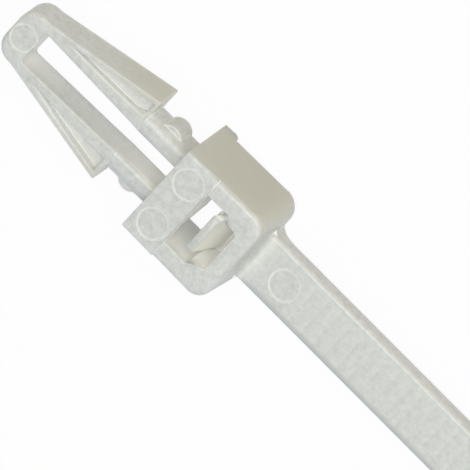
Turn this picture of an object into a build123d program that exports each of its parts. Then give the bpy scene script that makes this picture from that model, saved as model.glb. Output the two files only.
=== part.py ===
from build123d import *
import math
import os

os.makedirs("parts", exist_ok=True)

# A push mount cable tie, moulded in one piece of natural nylon.
# Its split arrowhead snaps into a round hole in a panel, its head holds the ratchet pawl,
# and its toothed strap goes round a bundle and back through the slot in the head.
# The origin is the middle of the shoulder that seats on the panel, on the arrowhead's axis.
# X runs from the shoulder along the strap to its tail, and the arrowhead points along -X.
# Z points out of the front of the head, where the strap's end comes out of the slot.
# The tie lies on its back, on the lip under the shoulder. All sizes are in millimetres.

# Arrowhead: its outline, mirrored about the XZ plane
ARROW_LENGTH = 16.6
ARROW_THICKNESS = 3.2
TIP_LENGTH = 2.4
TIP_HALF_WIDTH = 2.47
TIP_CORNER_RADIUS = 1.5
TIP_EDGE_RADIUS = 0.4
BARB_END = 4.2
BARB_HALF_WIDTH = 4.37
BARB_BACK_HALF_WIDTH = 4.6
BARB_RUN_IN = 1.1

# Slot that splits the arrowhead into two arms
SLOT_TIP_WALL = 2.3
SLOT_TIP_HALF_WIDTH = 1.58
SLOT_BARB_HALF_WIDTH = 1.3
SLOT_CORNER_RADIUS = 0.3
SLOT_EDGE_RADIUS = 0.18

# Three-cornered pocket in the front of each barb
RIM_WIDTH = 0.47
POCKET_DEPTH = 0.8
POCKET_END_WALL = 0.36
ARM_TIP_OUTER = 2.2
ARM_BARB_OUTER = 2.47

# Neck: the two arms between the barbs and the shoulder
NECK_HALF_WIDTH = 3.0
NECK_SLOT_HALF_WIDTH = 1.14
NECK_OUTER_RADIUS = 0.9
NECK_INNER_RADIUS = 0.5
NECK_BLEND_LENGTH = 1.4
NECK_BLEND_INSET = 0.06
NECK_ROOT_DEPTH = 1.2
BUMP_CENTRE = 2.1
BUMP_RADIUS = 1.1
BUMP_HALF_WIDTH = 3.41
BUMP_FRONT_DROP = 0.65
BUMP_BACK_DROP = 0.25

# Head: as wide as the strap slot and a wall on each side, a little narrower at the shoulder.
# Its end wall stands furthest out at the parting line, which runs along the middle of the strap.
HEAD_SIDE_WALL = 1.655
HEAD_END_WALL = 1.67
HEAD_TAPER = 0.14
HEAD_FRONT = 3.85
HEAD_BACK = 3.25
HEAD_FRONT_SETBACK = 0.27
HEAD_BACK_SETBACK = 0.07
HEAD_FRONT_CORNER_RADIUS = 1.3
HEAD_MIDDLE_CORNER_RADIUS = 1.5
HEAD_BACK_CORNER_RADIUS = 1.6
HEAD_EDGE_RADIUS = 0.42
STEP_START = 3.25
STEP_HEIGHT = 0.1
LIP_HEIGHT = 0.72
LIP_LENGTH = 1.5
LIP_CORNER_RADIUS = 0.6

# Strap slot through the head: its wall by the shoulder leans away towards the back, most in the corners
STRAP_SLOT_START = 3.35
STRAP_SLOT_PLAY = 0.42
STRAP_SLOT_CLEARANCE = 0.29
SLOT_WALL_LEAN = 0.22
SLOT_CORNER_LEAN = 0.3
SLOT_CORNER_START = 1.3
SLOT_CORNER_FULL = 2.0
ENTRY_DEPTH = 1.5
ENTRY_FLARE = 0.58

# Pocket in the head's front that gives the pawl room to bend back
PAWL_POCKET_LENGTH = 1.85
PAWL_POCKET_FLOOR = 0.5
PAWL_POCKET_CORNER_RADIUS = 0.2
POCKET_STEP_START = 0.4
POCKET_STEP_LENGTH = 0.22

# Ratchet pawl: a tongue that stands on the pocket's floor and leans towards the slot
PAWL_RAIL_CLEARANCE = 0.145
PAWL_SIDE_GAP = 0.2
PAWL_TIP_REACH = 0.43
PAWL_TOP_DROP = 0.3
PAWL_TIP_LENGTH = 0.65
PAWL_ROOT_THICKNESS = 1.2
PAWL_ROOT_DEPTH = 0.4
PAWL_TEETH = 2
PAWL_TOOTH_SETBACK = 0.05

# Strap
STRAP_WIDTH = 4.83
STRAP_THICKNESS = 1.33
STRAP_LENGTH = 140.0
STRAP_EDGE_RADIUS = 0.35
TOOTH_PITCH = 1.27
TOOTH_DEPTH = 0.5
TEETH_START = 3.93
TEETH_END_MARGIN = 16.0
RAIL_WIDTH = 0.42
TAIL_LENGTH = 12.0
TAIL_WIDTH = 2.8
TAIL_CORNER_RADIUS = 1.0

# Blends where the strap starts from the head's end wall
ROOT_FRONT_RADIUS = 0.45
ROOT_BACK_RADIUS = 1.8
ROOT_SIDE_RADIUS = 0.5
ROOT_DEPTH = 0.6
ROOT_MARGIN = 0.05
ROOT_INSET = 0.02

# Round marks that the ejector pins leave on the front faces
PIN_RADIUS = 1.32
PIN_DEPTH = 0.08
PIN_EDGE_ANGLE = 45.0
HEAD_PIN_X = 1.72
HEAD_PIN_SPACING = 4.5
STRAP_PIN_FROM_HEAD = 3.33
TIP_PIN_RADIUS = 1.16
TIP_PIN_FROM_END = 1.27

# Tolerance for finding edges, faces and corners by their place
NEAR = 0.01

# Places that follow from the sizes above
arrow_top = ARROW_THICKNESS / 2
barb_start = ARROW_LENGTH - TIP_LENGTH
barb_slope = (BARB_HALF_WIDTH - TIP_HALF_WIDTH) / (barb_start - BARB_END)
slot_tip = SLOT_TIP_WALL - ARROW_LENGTH
neck_end = -BARB_END - NECK_BLEND_LENGTH
strap_half_width = STRAP_WIDTH / 2
slot_half_width = strap_half_width + STRAP_SLOT_CLEARANCE
slot_end = STRAP_SLOT_START + STRAP_THICKNESS + STRAP_SLOT_PLAY
pawl_pocket_end = slot_end + PAWL_POCKET_LENGTH
pawl_pocket_floor = -PAWL_POCKET_FLOOR
pawl_width = STRAP_WIDTH - 2 * (RAIL_WIDTH + PAWL_RAIL_CLEARANCE)
pawl_pocket_half_width = pawl_width / 2 + PAWL_SIDE_GAP
head_length = pawl_pocket_end + HEAD_END_WALL
end_half_width = slot_half_width + HEAD_SIDE_WALL
shoulder_half_width = end_half_width - HEAD_TAPER
front_level = HEAD_FRONT - STEP_HEIGHT
parting_level = -STRAP_THICKNESS / 2
pawl_top = front_level - PAWL_TOP_DROP
pawl_tip = slot_end - PAWL_TIP_REACH
strap_end = head_length + STRAP_LENGTH
strap_root = head_length - ROOT_DEPTH


def both_sides(*upper):
    """Corners of an outline that is symmetrical about the X axis, from those of its +Y half."""
    return [*upper, *((x, -y) for x, y in reversed(upper))]


def barb_edge(x):
    """Half width of the arrowhead's outer side at x, between the tip and the barbs' ends."""
    return TIP_HALF_WIDTH + barb_slope * (x + barb_start)


def arm_edge(x):
    """Half width of an arm's outer side beside the pocket."""
    run = (x + barb_start) / (barb_start - BARB_END)
    return ARM_TIP_OUTER + run * (ARM_BARB_OUTER - ARM_TIP_OUTER)


def slot_edge(x):
    """Half width of the slot between the arms, beyond the neck."""
    run = (x - slot_tip) / (-BARB_END - slot_tip)
    return SLOT_TIP_HALF_WIDTH + run * (SLOT_BARB_HALF_WIDTH - SLOT_TIP_HALF_WIDTH)


def head_edge(x):
    """Half width of the head at x."""
    return shoulder_half_width + HEAD_TAPER * x / head_length


def head_end(level):
    """Place of the head's end wall at a level."""
    if level > parting_level:
        return head_length - HEAD_FRONT_SETBACK * (level - parting_level) / (HEAD_FRONT - parting_level)
    return head_length - HEAD_BACK_SETBACK * (parting_level - level) / (parting_level + HEAD_BACK)


def root_curve():
    """Ends of the concave curve that widens the strap at its root, by the head's corner and by the strap."""
    corner_x = head_length - HEAD_MIDDLE_CORNER_RADIUS
    corner_y = end_half_width - HEAD_MIDDLE_CORNER_RADIUS
    centre_y = strap_half_width + ROOT_SIDE_RADIUS
    reach = ROOT_SIDE_RADIUS + HEAD_MIDDLE_CORNER_RADIUS - ROOT_INSET
    rise = max(0, centre_y - corner_y)
    run = math.sqrt(reach**2 - rise**2)
    centre_x = corner_x + run
    share = ROOT_SIDE_RADIUS / reach
    return (centre_x - share * run, centre_y - share * rise), (centre_x, strap_half_width)


def strap_slot_outline(level, flare):
    """Outline of the strap slot at a level, with its two ends moved out by the flare."""
    run = (HEAD_FRONT - level) / (HEAD_FRONT + HEAD_BACK)
    wall = STRAP_SLOT_START - run * SLOT_WALL_LEAN
    corner = wall - run * SLOT_CORNER_LEAN
    return both_sides(
        (wall, SLOT_CORNER_START),
        (corner, SLOT_CORNER_FULL),
        (corner, slot_half_width + flare),
        (slot_end, slot_half_width + flare),
    )


with BuildPart() as cable_tie:
    # Strap: a flat bar that thickens by concave curves into the head's end wall, with a tapered tail
    root_top = ROOT_FRONT_RADIUS + ROOT_MARGIN
    root_bottom = -STRAP_THICKNESS - ROOT_BACK_RADIUS - ROOT_MARGIN
    front_corner = (head_end(0) - ROOT_INSET, 0)
    back_corner = (head_end(-STRAP_THICKNESS) - ROOT_INSET, -STRAP_THICKNESS)
    with BuildSketch(Plane.XZ) as strap_profile:
        with BuildLine():
            Polyline(
                (strap_root, root_bottom),
                (head_end(root_bottom) - ROOT_INSET, root_bottom),
                back_corner,
                (strap_end, -STRAP_THICKNESS),
                (strap_end, 0),
                front_corner,
                (head_end(root_top) - ROOT_INSET, root_top),
                (strap_root, root_top),
                close=True,
            )
        make_face()
        fillet(strap_profile.vertices().sort_by_distance(front_corner)[0], ROOT_FRONT_RADIUS)
        fillet(strap_profile.vertices().sort_by_distance(back_corner)[0], ROOT_BACK_RADIUS)
    extrude(amount=strap_half_width, both=True)
    with BuildSketch(Plane.XY):
        with BuildLine():
            Polyline(
                (strap_end - TAIL_LENGTH, strap_half_width),
                (strap_end, strap_half_width),
                (strap_end, TAIL_WIDTH / 2),
                close=True,
            )
        make_face()
        mirror(about=Plane.XZ)
    extrude(amount=-STRAP_THICKNESS, mode=Mode.SUBTRACT)
    tail_corners = cable_tie.edges().filter_by(Axis.Z).group_by(Axis.X)[-1]
    fillet(tail_corners, TAIL_CORNER_RADIUS)
    strap_front = cable_tie.edges().filter_by(
        lambda e: e.center().Z > -NEAR and abs(e.center().Y) > NEAR and e.center().X > strap_root + NEAR
    )
    fillet(strap_front, STRAP_EDGE_RADIUS)

    # The strap also widens at its root
    head_side, strap_side = root_curve()
    with BuildSketch(Plane.XY.offset(-STRAP_THICKNESS)):
        with BuildLine():
            Polyline((strap_side[0], 0), (strap_root, 0), (strap_root, head_side[1]), head_side)
            RadiusArc(head_side, strap_side, -ROOT_SIDE_RADIUS)
            Line(strap_side, (strap_side[0], 0))
        make_face()
        mirror(about=Plane.XZ)
    extrude(amount=STRAP_THICKNESS - STRAP_EDGE_RADIUS)

    # Tip: a plate with rounded corners, whose edges are rounded to lead into the hole
    with BuildSketch(Plane.XY.offset(-arrow_top)) as tip_outline:
        with BuildLine():
            Polyline(
                both_sides((-ARROW_LENGTH, TIP_HALF_WIDTH), (slot_tip + TIP_CORNER_RADIUS, TIP_HALF_WIDTH)),
                close=True,
            )
        make_face()
        fillet(tip_outline.vertices().group_by(Axis.X)[0], TIP_CORNER_RADIUS)
    extrude(amount=ARROW_THICKNESS)
    tip_rim = cable_tie.edges().filter_by(
        lambda e: abs(abs(e.center().Z) - arrow_top) < NEAR and e.center().X < slot_tip + TIP_CORNER_RADIUS - NEAR
    )
    fillet(tip_rim, TIP_EDGE_RADIUS)

    # Barbs and arms: a plate that widens from the tip to the barbs' ends, a little more at the back
    wedge_start = -barb_start - BARB_RUN_IN
    for level, half_width in ((-arrow_top, BARB_BACK_HALF_WIDTH), (arrow_top, BARB_HALF_WIDTH)):
        with BuildSketch(Plane.XY.offset(level)):
            with BuildLine():
                Polyline(both_sides((wedge_start, barb_edge(wedge_start)), (-BARB_END, half_width)), close=True)
            make_face()
    loft(ruled=True)

    # Slot between the arms
    with BuildSketch(Plane.XY.offset(-arrow_top)) as arm_slot:
        with BuildLine():
            Polyline(
                both_sides((slot_tip, SLOT_TIP_HALF_WIDTH), (-BARB_END, SLOT_BARB_HALF_WIDTH)),
                close=True,
            )
        make_face()
        fillet(arm_slot.vertices().group_by(Axis.X)[0], SLOT_CORNER_RADIUS)
    extrude(amount=ARROW_THICKNESS, mode=Mode.SUBTRACT)
    slot_rounding = cable_tie.edges().filter_by(
        lambda e: abs(e.center().Z) > arrow_top - NEAR
        and abs(e.center().Y) < SLOT_TIP_HALF_WIDTH + NEAR
        and slot_tip - NEAR < e.center().X < -BARB_END - NEAR
    )
    fillet(slot_rounding, SLOT_EDGE_RADIUS)

    # Pocket in the front of each barb, between the arm and the barb's rim
    barb_pocket_end = -BARB_END - POCKET_END_WALL
    pocket_start = -barb_start + (RIM_WIDTH + ARM_TIP_OUTER - TIP_HALF_WIDTH) / (
        barb_slope - (ARM_BARB_OUTER - ARM_TIP_OUTER) / (barb_start - BARB_END)
    )
    with BuildSketch(Plane.XY.offset(arrow_top)):
        with BuildLine():
            Polyline(
                (pocket_start, arm_edge(pocket_start)),
                (barb_pocket_end, arm_edge(barb_pocket_end)),
                (barb_pocket_end, barb_edge(barb_pocket_end) - RIM_WIDTH),
                close=True,
            )
        make_face()
        mirror(about=Plane.XZ)
    extrude(amount=-POCKET_DEPTH, mode=Mode.SUBTRACT)

    # Neck: a rounded bar on each side, blended into its arm
    blend_inner = slot_edge(neck_end) + NECK_BLEND_INSET
    blend_outer = arm_edge(neck_end) - NECK_BLEND_INSET
    for side in (1, -1):
        for x, inner, outer, inner_radius, outer_radius in (
            (NECK_ROOT_DEPTH, NECK_SLOT_HALF_WIDTH, NECK_HALF_WIDTH, NECK_INNER_RADIUS, NECK_OUTER_RADIUS),
            (-BARB_END, NECK_SLOT_HALF_WIDTH, NECK_HALF_WIDTH, NECK_INNER_RADIUS, NECK_OUTER_RADIUS),
            (neck_end, blend_inner, blend_outer, SLOT_EDGE_RADIUS, SLOT_EDGE_RADIUS),
        ):
            with BuildSketch(Plane.YZ.offset(x)) as neck_section:
                with Locations((side * (inner + outer) / 2, 0)):
                    Rectangle(outer - inner, ARROW_THICKNESS)
                fillet(neck_section.vertices().filter_by(lambda v: abs(v.X) < inner + NEAR), inner_radius)
                fillet(neck_section.vertices().filter_by(lambda v: abs(v.X) > outer - NEAR), outer_radius)
        loft(ruled=True)

    # Round bump on the outer side of each arm, which takes up the play in the panel's hole
    with BuildSketch(Plane.XY.offset(-arrow_top + BUMP_BACK_DROP)):
        with Locations(
            (-BUMP_CENTRE, BUMP_HALF_WIDTH - BUMP_RADIUS),
            (-BUMP_CENTRE, -BUMP_HALF_WIDTH + BUMP_RADIUS),
        ):
            Circle(BUMP_RADIUS)
    extrude(amount=ARROW_THICKNESS - BUMP_BACK_DROP - BUMP_FRONT_DROP)

    # Head: a block with a square shoulder, and rounded corners at its other end
    for level, corner_radius in (
        (-HEAD_BACK, HEAD_BACK_CORNER_RADIUS),
        (parting_level, HEAD_MIDDLE_CORNER_RADIUS),
        (HEAD_FRONT, HEAD_FRONT_CORNER_RADIUS),
    ):
        with BuildSketch(Plane.XY.offset(level)) as head_outline:
            with BuildLine():
                end = head_end(level)
                Polyline(both_sides((0, shoulder_half_width), (end, head_edge(end))), close=True)
            make_face()
            fillet(head_outline.vertices().group_by(Axis.X)[-1], corner_radius)
    loft(ruled=True)

    # Lip across the head's back, along the shoulder
    with BuildSketch(Plane.XY.offset(-HEAD_BACK)):
        with BuildLine():
            Polyline(both_sides((0, shoulder_half_width), (LIP_LENGTH, head_edge(LIP_LENGTH))), close=True)
        make_face()
    extrude(amount=-LIP_HEIGHT)
    lip_corner = cable_tie.edges().filter_by(Axis.Y).group_by(Axis.Z)[0].sort_by(Axis.X)[-1]
    fillet(lip_corner, LIP_CORNER_RADIUS)

    # The front is a little lower from the strap slot on, with rounded edges
    with BuildSketch(Plane.XY.offset(HEAD_FRONT)):
        with Locations((STEP_START, 0)):
            Rectangle(head_length, 2 * end_half_width, align=(Align.MIN, Align.CENTER))
    extrude(amount=-STEP_HEIGHT, mode=Mode.SUBTRACT)
    front_face = cable_tie.faces().filter_by(lambda f: abs(f.center().Z - front_level) < NEAR).sort_by(Axis.X)[-1]
    fillet(front_face.edges().filter_by(lambda e: e.center().X > STEP_START + NEAR), HEAD_EDGE_RADIUS)

    # Strap slot, flared at its two ends where the tail goes in at the back
    with BuildSketch(Plane.XY.offset(HEAD_FRONT + STRAP_THICKNESS)):
        with BuildLine():
            Polyline(strap_slot_outline(HEAD_FRONT + STRAP_THICKNESS, 0), close=True)
        make_face()
    with BuildSketch(Plane.XY.offset(ENTRY_DEPTH - HEAD_BACK)):
        with BuildLine():
            Polyline(strap_slot_outline(ENTRY_DEPTH - HEAD_BACK, 0), close=True)
        make_face()
    with BuildSketch(Plane.XY.offset(-HEAD_BACK)):
        with BuildLine():
            Polyline(strap_slot_outline(-HEAD_BACK, ENTRY_FLARE), close=True)
        make_face()
    loft(ruled=True, mode=Mode.SUBTRACT)

    # Pocket behind the pawl, as wide as the slot at first and then just wider than the pawl
    with BuildSketch(Plane.XY.offset(pawl_pocket_floor)) as pawl_pocket:
        with BuildLine():
            Polyline(
                both_sides(
                    (pawl_tip, slot_half_width),
                    (slot_end + POCKET_STEP_START, slot_half_width),
                    (slot_end + POCKET_STEP_START + POCKET_STEP_LENGTH, pawl_pocket_half_width),
                    (pawl_pocket_end, pawl_pocket_half_width),
                ),
                close=True,
            )
        make_face()
        fillet(pawl_pocket.vertices().group_by(Axis.X)[-1], PAWL_POCKET_CORNER_RADIUS)
    extrude(amount=HEAD_FRONT + PAWL_POCKET_FLOOR, mode=Mode.SUBTRACT)

    # Ratchet pawl: its teeth are flat on top, to hold the strap, and sloped below, to let it slide in
    pawl_face = []
    for tooth in range(PAWL_TEETH):
        pawl_face.append((pawl_tip + tooth * PAWL_TOOTH_SETBACK, pawl_top - tooth * TOOTH_PITCH))
        pawl_face.append((slot_end, pawl_top - (tooth + 1) * TOOTH_PITCH))
    with BuildSketch(Plane.XZ):
        with BuildLine():
            Polyline(
                *pawl_face,
                (slot_end, pawl_pocket_floor - PAWL_ROOT_DEPTH),
                (slot_end + PAWL_ROOT_THICKNESS, pawl_pocket_floor - PAWL_ROOT_DEPTH),
                (slot_end + PAWL_ROOT_THICKNESS, pawl_pocket_floor),
                (pawl_tip + PAWL_TIP_LENGTH, pawl_top),
                close=True,
            )
        make_face()
    extrude(amount=pawl_width / 2, both=True)

    # Ratchet teeth on the strap's back, between two rails: steep towards the head, sloped towards the tail
    teeth_start = head_length + TEETH_START
    tooth_count = int((STRAP_LENGTH - TEETH_START - TEETH_END_MARGIN) / TOOTH_PITCH)
    tooth_tip = -STRAP_THICKNESS
    tooth_root = -STRAP_THICKNESS + TOOTH_DEPTH
    saw_edge = [(teeth_start - TOOTH_PITCH, tooth_tip)]
    for tooth in range(tooth_count):
        step_x = teeth_start + tooth * TOOTH_PITCH
        saw_edge.append((step_x, tooth_root))
        saw_edge.append((step_x, tooth_tip))
    with BuildSketch(Plane.XZ):
        with BuildLine():
            Polyline(
                *saw_edge,
                (saw_edge[-1][0], tooth_tip - TOOTH_DEPTH),
                (saw_edge[0][0], tooth_tip - TOOTH_DEPTH),
                close=True,
            )
        make_face()
    extrude(amount=strap_half_width - RAIL_WIDTH, both=True, mode=Mode.SUBTRACT)

    # Round marks of the ejector pins
    for level, x, y, radius in (
        (HEAD_FRONT, HEAD_PIN_X, HEAD_PIN_SPACING / 2, PIN_RADIUS),
        (HEAD_FRONT, HEAD_PIN_X, -HEAD_PIN_SPACING / 2, PIN_RADIUS),
        (0, head_length + STRAP_PIN_FROM_HEAD, 0, PIN_RADIUS),
        (arrow_top, TIP_PIN_FROM_END - ARROW_LENGTH, 0, TIP_PIN_RADIUS),
    ):
        with BuildSketch(Plane.XY.offset(level)):
            with Locations((x, y)):
                Circle(radius)
        extrude(amount=-PIN_DEPTH, taper=PIN_EDGE_ANGLE, mode=Mode.SUBTRACT)

cable_tie.part.label = "cable_tie"
export_step(cable_tie.part, "parts/cable_tie.step")
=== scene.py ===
import math

import bmesh
import bpy
from mathutils import Matrix, Vector


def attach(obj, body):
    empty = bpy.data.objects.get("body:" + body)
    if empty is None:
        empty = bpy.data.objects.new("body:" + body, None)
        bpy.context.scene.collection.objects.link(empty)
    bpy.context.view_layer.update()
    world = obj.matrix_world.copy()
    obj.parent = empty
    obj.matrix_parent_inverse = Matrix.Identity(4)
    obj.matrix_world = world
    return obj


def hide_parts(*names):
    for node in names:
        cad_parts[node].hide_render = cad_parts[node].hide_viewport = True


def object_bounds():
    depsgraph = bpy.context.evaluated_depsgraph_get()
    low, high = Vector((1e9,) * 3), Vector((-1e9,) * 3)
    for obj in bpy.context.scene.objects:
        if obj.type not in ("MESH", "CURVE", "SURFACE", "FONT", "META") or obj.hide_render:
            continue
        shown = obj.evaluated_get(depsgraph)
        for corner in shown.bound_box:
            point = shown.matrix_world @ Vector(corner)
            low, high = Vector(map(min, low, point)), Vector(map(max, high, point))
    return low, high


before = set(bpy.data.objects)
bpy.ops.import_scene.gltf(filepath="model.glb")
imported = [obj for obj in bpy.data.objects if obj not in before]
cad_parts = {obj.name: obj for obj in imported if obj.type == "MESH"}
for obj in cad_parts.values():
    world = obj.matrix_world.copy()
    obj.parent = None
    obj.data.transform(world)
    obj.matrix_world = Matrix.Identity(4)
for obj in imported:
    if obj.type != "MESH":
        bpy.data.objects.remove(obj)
cad_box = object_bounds()

MM = 0.001

# Camera: where it looks from, how it is turned, and what its picture holds
TOWARD_CAMERA = Vector((0.0762, 0.4543, 0.8876))
CAMERA_RIGHT = Vector((0.7040, 0.6059, -0.3705))
PICTURE_CENTRE = Vector((6.895, 2.068, 3.85)) * MM
PICTURE_WIDTH = 35.585 * MM
LENS = 1500.0
SENSOR_WIDTH = 36.0
NEAREST_SEEN = 0.1
FARTHEST_SEEN = 50.0

# Moulded edges: the roundings that a mould leaves, on plain corners and along the head's
# raised front, and where edges take none
EDGE_ROUNDING = 0.11 * MM
RAISED_EDGE_ROUNDING = 0.2 * MM
ROUNDING_STEPS = 3
FLAT_FACE_WEIGHT = 100
ROOM_FOR_ROUNDING = 0.3
SHORTEST_ROUNDED = 0.7 * MM
EDGE_ANGLE = math.radians(28)
FLAT_ANGLE = math.radians(0.5)
SAME_POINT = 0.0005 * MM
RAISED_FRONT = 3.84 * MM
ALONG_THE_TIE = 0.9
STRAP_BACK = -0.6 * MM
STRAP_TEETH_FROM = 10.0 * MM
STEP_PLACE = 3.25 * MM
STEP_REACH = 0.1 * MM
STEP_END = 3.7 * MM

# Nylon: faint clouds
CLOUD_SIZE = 0.45 * MM
CLOUD_DETAIL = 4.0
CLOUD_ROUGHNESS = 0.7
CLOUD_LOW = 0.3
CLOUD_HIGH = 0.7
CLOUD_DARK = "#bdc0be"
CLOUD_PALE = "#d6d8d7"

# Nylon: painted shade, warmer and darker, on the sides of the head and the barbs
SIDE_SHADE = "#c4c3b8"
SIDE_SHADE_FROM = 3.0 * MM
SIDE_SHADE_FULL = 4.3 * MM
SIDE_SHADE_TOP = 3.7 * MM
SIDE_SHADE_BELOW = 3.3 * MM

# Nylon: the strap's front, with painted shade on its clear rail and painted light in bands where
# the teeth on its back show through
RAIL_SHADE = "#b3b9b7"
RAIL_FROM = 1.7 * MM
RAIL_FULL = 2.1 * MM
STRAP_FRONT = -0.4 * MM
STRAP_FROM = 9.2 * MM
TOOTH_LIGHT = "#dfe2e0"
TOOTH_LIGHT_SHARE = 0.3
TOOTH_PITCH = 1.27 * MM
TEETH_MIDDLE = 72.6 * MM
TEETH_REACH = 59.9 * MM

# Nylon: painted highlights along edges
EDGE_HIGHLIGHT = "#f4f5f2"
EDGE_WIDTH = 0.14 * MM
EDGE_START = 0.997
EDGE_FULL = 0.95

# Nylon: painted light in slots and pockets, lifting their shade
NARROW_LIGHT = "#fcfcf6"
NARROW_REACH = 4.0 * MM
NARROW_START = 0.75
NARROW_FULL = 0.42
ARROW_SHARE = 0.4
ARROW_ARM = 2.1 * MM
SAMPLES_AROUND = 8

# Nylon: its skin, with a grain that is finer on the real one and is drawn this coarse to show,
# and how far light runs in it
GRAIN_SIZE = 0.35 * MM
GRAIN_DETAIL = 3.0
GRAIN_ROUGHNESS = 0.6
GRAIN_DEPTH = 0.02 * MM
GRAIN_STRENGTH = 0.12
SKIN_ROUGHNESS = 0.36
NYLON_IOR = 1.53
SCATTER_WEIGHT = 0.4
SCATTER_RADIUS = (0.95, 0.95, 1.0)
SCATTER_SCALE = 5.0 * MM

# Places of a colour mix's inputs and of its result
MIX_SHARE = 0
MIX_START = 6
MIX_END = 7
MIX_RESULT = 2

# Floor and backdrop
WHITE = "#ffffff"
BACKDROP = "#fdfdfd"
BACKDROP_STRENGTH = 1.0
FLOOR_SIZE = 12.0
FLOOR_COLOUR = "#d8d8d8"
SHADOW_SHARE = 0.04

# Light
LAMP_DISTANCE = 0.6
LAMP_DIRECTION = (0.18, 0.36, 0.9)
LAMP_SIZE = 0.4
LAMP_POWER = 2.85
WORLD_STRENGTH = 0.6
WORLD_WARM = "#d0c39c"
WORLD_COOL = "#e2ecf6"
WORLD_TURN = 0.7


def linear(hex_colour):
    """An sRGB hex colour as linear red, green, blue and alpha."""
    parts = [int(hex_colour[i : i + 2], 16) / 255 for i in (1, 3, 5)]
    turned = [p / 12.92 if p <= 0.04045 else ((p + 0.055) / 1.055) ** 2.4 for p in parts]
    return (*turned, 1.0)


def add_node(material, kind, links=None, values=None, **settings):
    """Adds a node with its settings. Links and values go to its inputs by name or number."""
    node = material.node_tree.nodes.new(kind)
    for name, value in settings.items():
        setattr(node, name, value)
    for place, value in (values or {}).items():
        node.inputs[place].default_value = value
    for place, source in (links or {}).items():
        material.node_tree.links.new(source, node.inputs[place])
    return node


def new_material(name):
    """An empty node material."""
    material = bpy.data.materials.new(name)
    material.use_nodes = True
    material.node_tree.nodes.clear()
    return material


def milky_clouds(material, place):
    """Faint clouds, as the flow of the melt leaves them in undyed nylon."""
    noise = add_node(
        material,
        "ShaderNodeTexNoise",
        {"Vector": place.outputs["Object"]},
        {"Scale": 1 / CLOUD_SIZE, "Detail": CLOUD_DETAIL, "Roughness": CLOUD_ROUGHNESS},
    )
    spread = add_node(
        material,
        "ShaderNodeMapRange",
        {"Value": noise.outputs["Fac"]},
        {"From Min": CLOUD_LOW, "From Max": CLOUD_HIGH},
    )
    mix = add_node(
        material,
        "ShaderNodeMix",
        {MIX_SHARE: spread.outputs["Result"]},
        {MIX_START: linear(CLOUD_DARK), MIX_END: linear(CLOUD_PALE)},
        data_type="RGBA",
    )
    return mix.outputs[MIX_RESULT]


def painted_side_shade(material, aside, up, colour):
    """Painted shade: a warmer, darker tone on the sides of the head and the barbs, where the nylon
    is thick and less light falls.
    """
    out = add_node(
        material,
        "ShaderNodeMapRange",
        {"Value": aside},
        {"From Min": SIDE_SHADE_FROM, "From Max": SIDE_SHADE_FULL},
    )
    below = add_node(
        material,
        "ShaderNodeMapRange",
        {"Value": up},
        {"From Min": SIDE_SHADE_TOP, "From Max": SIDE_SHADE_BELOW},
    )
    share = add_node(
        material,
        "ShaderNodeMath",
        {0: out.outputs["Result"], 1: below.outputs["Result"]},
        operation="MULTIPLY",
    )
    mix = add_node(
        material,
        "ShaderNodeMix",
        {MIX_SHARE: share.outputs[0], MIX_START: colour},
        {MIX_END: linear(SIDE_SHADE)},
        data_type="RGBA",
    )
    return mix.outputs[MIX_RESULT]


def strap_front(material, along, across, aside, up, colour):
    """The strap seen from in front: painted shade makes its clear rail on the cool side darker
    than its middle, where painted light shows the teeth on its back through it as faint pale
    bands."""
    rail = add_node(
        material,
        "ShaderNodeMapRange",
        {"Value": across},
        {"From Min": -RAIL_FROM, "From Max": -RAIL_FULL},
    )
    in_front = add_node(
        material,
        "ShaderNodeMath",
        {0: up},
        {1: STRAP_FRONT},
        operation="GREATER_THAN",
    )
    past_head = add_node(
        material,
        "ShaderNodeMath",
        {0: along},
        {1: STRAP_FROM},
        operation="GREATER_THAN",
    )
    on_strap = add_node(
        material,
        "ShaderNodeMath",
        {0: in_front.outputs[0], 1: past_head.outputs[0]},
        operation="MULTIPLY",
    )
    on_rail = add_node(
        material,
        "ShaderNodeMath",
        {0: on_strap.outputs[0], 1: rail.outputs["Result"]},
        operation="MULTIPLY",
    )
    # painted shade on the strap's clear rail, on the cool side only
    with_rail_shade = add_node(
        material,
        "ShaderNodeMix",
        {MIX_SHARE: on_rail.outputs[0], MIX_START: colour},
        {MIX_END: linear(RAIL_SHADE)},
        data_type="RGBA",
    )
    teeth = add_node(material, "ShaderNodeMath", {0: along}, {1: TOOTH_PITCH}, operation="DIVIDE")
    tooth = add_node(material, "ShaderNodeMath", {0: teeth.outputs[0]}, operation="FRACT")
    toothed = add_node(
        material,
        "ShaderNodeMath",
        {0: along},
        {1: TEETH_MIDDLE, 2: TEETH_REACH},
        operation="COMPARE",
    )
    middle = add_node(
        material,
        "ShaderNodeMapRange",
        {"Value": aside},
        {"From Min": RAIL_FROM, "From Max": RAIL_FULL, "To Min": TOOTH_LIGHT_SHARE, "To Max": 0.0},
    )
    in_reach = add_node(
        material,
        "ShaderNodeMath",
        {0: toothed.outputs[0], 1: in_front.outputs[0]},
        operation="MULTIPLY",
    )
    in_middle = add_node(
        material,
        "ShaderNodeMath",
        {0: in_reach.outputs[0], 1: middle.outputs["Result"]},
        operation="MULTIPLY",
    )
    share = add_node(
        material,
        "ShaderNodeMath",
        {0: in_middle.outputs[0], 1: tooth.outputs[0]},
        operation="MULTIPLY",
    )
    # painted light: pale bands where the teeth on the strap's back show through
    with_tooth_light = add_node(
        material,
        "ShaderNodeMix",
        {MIX_SHARE: share.outputs[0], MIX_START: with_rail_shade.outputs[MIX_RESULT]},
        {MIX_END: linear(TOOTH_LIGHT)},
        data_type="RGBA",
    )
    return with_tooth_light.outputs[MIX_RESULT]


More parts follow.
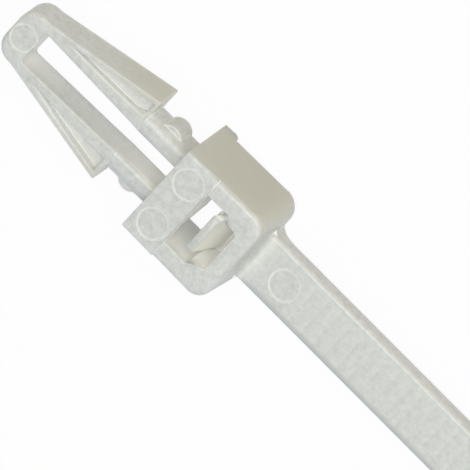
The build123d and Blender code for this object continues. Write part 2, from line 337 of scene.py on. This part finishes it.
def painted_edge_highlights(material, colour):
    """Painted highlights: thin pale lines along edges and round the ejector pins' marks, where
    light comes out.
    """
    rounded = add_node(
        material,
        "ShaderNodeBevel",
        values={"Radius": EDGE_WIDTH},
        samples=SAMPLES_AROUND,
    )
    surface = add_node(material, "ShaderNodeNewGeometry")
    likeness = add_node(
        material,
        "ShaderNodeVectorMath",
        {0: rounded.outputs["Normal"], 1: surface.outputs["Normal"]},
        operation="DOT_PRODUCT",
    )
    edge = add_node(
        material,
        "ShaderNodeMapRange",
        {"Value": likeness.outputs["Value"]},
        {"From Min": EDGE_START, "From Max": EDGE_FULL},
    )
    mix = add_node(
        material,
        "ShaderNodeMix",
        {MIX_SHARE: edge.outputs["Result"], MIX_START: colour},
        {MIX_END: linear(EDGE_HIGHLIGHT)},
        data_type="RGBA",
    )
    return mix.outputs[MIX_RESULT]


def painted_light_in_narrow_places(material, along, aside, colour):
    """Painted light: a paler tone in slots and pockets, set by how closed in a place is, standing
    for light that their thin walls let through from outside. The barbs' open pockets take less of
    it."""
    space = add_node(
        material,
        "ShaderNodeAmbientOcclusion",
        values={"Distance": NARROW_REACH},
        samples=SAMPLES_AROUND,
        only_local=True,
    )
    narrow = add_node(
        material,
        "ShaderNodeMapRange",
        {"Value": space.outputs["AO"]},
        {"From Min": NARROW_START, "From Max": NARROW_FULL},
    )
    in_head = add_node(material, "ShaderNodeMath", {0: along}, {1: 0.0}, operation="GREATER_THAN")
    in_split = add_node(
        material,
        "ShaderNodeMath",
        {0: aside},
        {1: ARROW_ARM},
        operation="LESS_THAN",
    )
    deep = add_node(
        material,
        "ShaderNodeMath",
        {0: in_head.outputs[0], 1: in_split.outputs[0]},
        operation="MAXIMUM",
    )
    depth = add_node(
        material,
        "ShaderNodeMapRange",
        {"Value": deep.outputs[0]},
        {"To Min": ARROW_SHARE, "To Max": 1.0},
    )
    share = add_node(
        material,
        "ShaderNodeMath",
        {0: narrow.outputs["Result"], 1: depth.outputs["Result"]},
        operation="MULTIPLY",
    )
    mix = add_node(
        material,
        "ShaderNodeMix",
        {MIX_SHARE: share.outputs[0], MIX_START: colour},
        {MIX_END: linear(NARROW_LIGHT)},
        data_type="RGBA",
    )
    return mix.outputs[MIX_RESULT]


def natural_nylon():
    """Nylon 6/6, injection moulded and undyed: milky, with light running a few millimetres in it,
    and a low semi-gloss skin with the mould's fine grain."""
    material = new_material("natural_nylon_6_6_moulded")
    place = add_node(material, "ShaderNodeTexCoord")
    parts = add_node(material, "ShaderNodeSeparateXYZ", {0: place.outputs["Object"]})
    along, across, up = (parts.outputs[axis] for axis in "XYZ")
    distance = add_node(material, "ShaderNodeMath", {0: across}, operation="ABSOLUTE")
    aside = distance.outputs[0]
    colour = milky_clouds(material, place)
    # painted shade: a warmer, darker tone on the sides of the head and the barbs
    colour = painted_side_shade(material, aside, up, colour)
    # painted shade on the strap's rail and painted light in pale bands over its teeth
    colour = strap_front(material, along, across, aside, up, colour)
    # painted highlights along edges and round the ejector pins' marks
    colour = painted_edge_highlights(material, colour)
    # painted light in slots and pockets, paler the more closed in a place is
    colour = painted_light_in_narrow_places(material, along, aside, colour)
    grain = add_node(
        material,
        "ShaderNodeTexNoise",
        {"Vector": place.outputs["Object"]},
        {"Scale": 1 / GRAIN_SIZE, "Detail": GRAIN_DETAIL, "Roughness": GRAIN_ROUGHNESS},
    )
    bump = add_node(
        material,
        "ShaderNodeBump",
        {"Height": grain.outputs["Fac"]},
        {"Strength": GRAIN_STRENGTH, "Distance": GRAIN_DEPTH},
    )
    skin = add_node(
        material,
        "ShaderNodeBsdfPrincipled",
        {"Base Color": colour, "Normal": bump.outputs["Normal"]},
        {
            "Roughness": SKIN_ROUGHNESS,
            "IOR": NYLON_IOR,
            "Subsurface Weight": SCATTER_WEIGHT,
            "Subsurface Radius": SCATTER_RADIUS,
            "Subsurface Scale": SCATTER_SCALE,
        },
    )
    add_node(material, "ShaderNodeOutputMaterial", {"Surface": skin.outputs["BSDF"]})
    return material


def floor_material():
    """Matt grey-white board, which shows as plain white with only a little of the tie's shadow."""
    material = new_material("matt_white_board")
    board = add_node(material, "ShaderNodeBsdfDiffuse", values={"Color": linear(FLOOR_COLOUR)})
    plain = add_node(material, "ShaderNodeEmission", values={"Color": linear(WHITE)})
    path = add_node(material, "ShaderNodeLightPath")
    seen = add_node(
        material,
        "ShaderNodeMath",
        {0: path.outputs["Is Camera Ray"], 1: path.outputs["Is Glossy Ray"]},
        operation="MAXIMUM",
    )
    seen = add_node(
        material,
        "ShaderNodeMath",
        {0: seen.outputs[0], 1: path.outputs["Is Transmission Ray"]},
        operation="MAXIMUM",
    )
    share = add_node(
        material,
        "ShaderNodeMath",
        {0: seen.outputs[0]},
        {1: 1 - SHADOW_SHARE},
        operation="MULTIPLY",
    )
    look = add_node(
        material,
        "ShaderNodeMixShader",
        {0: share.outputs[0], 1: board.outputs[0], 2: plain.outputs[0]},
    )
    add_node(material, "ShaderNodeOutputMaterial", {"Surface": look.outputs[0]})
    return material


def reach_beside(edge, face):
    """How far a face reaches away from one of its edges."""
    start = edge.verts[0].co
    along = (edge.verts[1].co - start).normalized()
    return max((v.co - start - along * (v.co - start).dot(along)).length for v in face.verts)


def rounding_weight(edge):
    """Share of the widest rounding that an edge takes: none in hollow corners, on curves, on the
    strap's teeth and at the ends of the head's step, and less where there is little room."""
    if len(edge.link_faces) != 2 or not edge.is_convex or edge.calc_face_angle(0) < EDGE_ANGLE:
        return 0.0
    if edge.calc_length() < SHORTEST_ROUNDED:
        return 0.0
    middle = (edge.verts[0].co + edge.verts[1].co) / 2
    on_teeth = middle.x > STRAP_TEETH_FROM and middle.z < STRAP_BACK
    at_step_end = abs(middle.x - STEP_PLACE) < STEP_REACH and abs(middle.y) > STEP_END
    if on_teeth or at_step_end:
        return 0.0
    along = (edge.verts[1].co - edge.verts[0].co).normalized()
    raised = middle.z > RAISED_FRONT and abs(along.x) > ALONG_THE_TIE
    wanted = RAISED_EDGE_ROUNDING if raised else EDGE_ROUNDING
    room = ROOM_FOR_ROUNDING * min(reach_beside(edge, face) for face in edge.link_faces)
    return min(wanted, room) / RAISED_EDGE_ROUNDING


def moulding(node_name):
    """The moulding with its sharp corners rounded a little, as a mould leaves them."""
    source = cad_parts[node_name]
    mesh = source.data.copy()
    piece = bpy.data.objects.new("nylon_moulding", mesh)
    bpy.context.scene.collection.objects.link(piece)
    form = bmesh.new()
    form.from_mesh(mesh)
    bmesh.ops.remove_doubles(form, verts=form.verts, dist=SAME_POINT)
    bmesh.ops.dissolve_limit(
        form,
        angle_limit=FLAT_ANGLE,
        use_dissolve_boundaries=False,
        verts=form.verts,
        edges=form.edges,
        delimit={"NORMAL"},
    )
    weight = form.edges.layers.float.new("bevel_weight_edge")
    for edge in form.edges:
        edge[weight] = rounding_weight(edge)
        edge.smooth = edge[weight] > 0 or edge.calc_face_angle(0) < EDGE_ANGLE
    bmesh.ops.triangulate(form, faces=form.faces)
    form.to_mesh(mesh)
    form.free()
    for face in mesh.polygons:
        face.use_smooth = True
    rounding = piece.modifiers.new("edge_rounding", "BEVEL")
    rounding.width = RAISED_EDGE_ROUNDING
    rounding.segments = ROUNDING_STEPS
    rounding.limit_method = "WEIGHT"
    rounding.use_clamp_overlap = False
    piece.modifiers.new("closed_corners", "WELD").merge_threshold = SAME_POINT
    flats = piece.modifiers.new("flat_faces", "WEIGHTED_NORMAL")
    flats.weight = FLAT_FACE_WEIGHT
    flats.keep_sharp = True
    mesh.materials.clear()
    mesh.materials.append(natural_nylon())
    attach(piece, "root")
    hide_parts(node_name)
    return piece


def make_floor(height):
    """A pale board just under the tie."""
    form = bmesh.new()
    bmesh.ops.create_grid(form, x_segments=1, y_segments=1, size=FLOOR_SIZE / 2)
    mesh = bpy.data.meshes.new("floor")
    form.to_mesh(mesh)
    form.free()
    mesh.transform(Matrix.Translation((0, 0, height)))
    mesh.materials.append(floor_material())
    floor = bpy.data.objects.new("floor", mesh)
    bpy.context.scene.collection.objects.link(floor)


def make_camera():
    """A long lens at the photograph's angle."""
    back = TOWARD_CAMERA.normalized()
    up = back.cross(CAMERA_RIGHT).normalized()
    right = up.cross(back)
    data = bpy.data.cameras.new("camera")
    data.lens = LENS
    data.sensor_width = SENSOR_WIDTH
    data.clip_start = NEAREST_SEEN
    data.clip_end = FARTHEST_SEEN
    camera = bpy.data.objects.new("camera", data)
    distance = PICTURE_WIDTH * LENS / SENSOR_WIDTH
    turn = Matrix((right, up, back)).transposed().to_4x4()
    camera.matrix_world = Matrix.Translation(PICTURE_CENTRE + back * distance) @ turn
    bpy.context.scene.collection.objects.link(camera)
    bpy.context.scene.camera = camera


def make_lamp():
    """A soft white square lamp before the head of the tie, and turned to it."""
    data = bpy.data.lights.new("lamp_front", "AREA")
    data.size = LAMP_SIZE
    data.energy = LAMP_POWER
    lamp = bpy.data.objects.new("lamp_front", data)
    back = Vector(LAMP_DIRECTION).normalized()
    lamp.location = PICTURE_CENTRE + back * LAMP_DISTANCE
    lamp.rotation_euler = back.to_track_quat("Z", "Y").to_euler()
    bpy.context.scene.collection.objects.link(lamp)


def make_world():
    """Even light from all round, warm from one side and cool from the other."""
    world = bpy.data.worlds.new("world")
    bpy.context.scene.world = world
    world.use_nodes = True
    world.node_tree.nodes.clear()
    place = add_node(world, "ShaderNodeTexCoord")
    parts = add_node(world, "ShaderNodeSeparateXYZ", {0: place.outputs["Generated"]})
    side = add_node(
        world,
        "ShaderNodeMapRange",
        {"Value": parts.outputs["Y"]},
        {"From Min": -WORLD_TURN, "From Max": WORLD_TURN},
    )
    tint = add_node(
        world,
        "ShaderNodeMix",
        {MIX_SHARE: side.outputs["Result"]},
        {MIX_START: linear(WORLD_COOL), MIX_END: linear(WORLD_WARM)},
        data_type="RGBA",
    )
    all_round = add_node(
        world,
        "ShaderNodeBackground",
        {"Color": tint.outputs[MIX_RESULT]},
        {"Strength": WORLD_STRENGTH},
    )
    seen = add_node(
        world,
        "ShaderNodeBackground",
        values={"Color": linear(BACKDROP), "Strength": BACKDROP_STRENGTH},
    )
    path = add_node(world, "ShaderNodeLightPath")
    choice = add_node(
        world,
        "ShaderNodeMixShader",
        {0: path.outputs["Is Camera Ray"], 1: all_round.outputs[0], 2: seen.outputs[0]},
    )
    add_node(world, "ShaderNodeOutputWorld", {"Surface": choice.outputs[0]})


make_camera()
moulding("cable_tie")
make_floor(cad_box[0].z)
make_world()
make_lamp()

scene = bpy.context.scene
scene.view_settings.view_transform = "Standard"
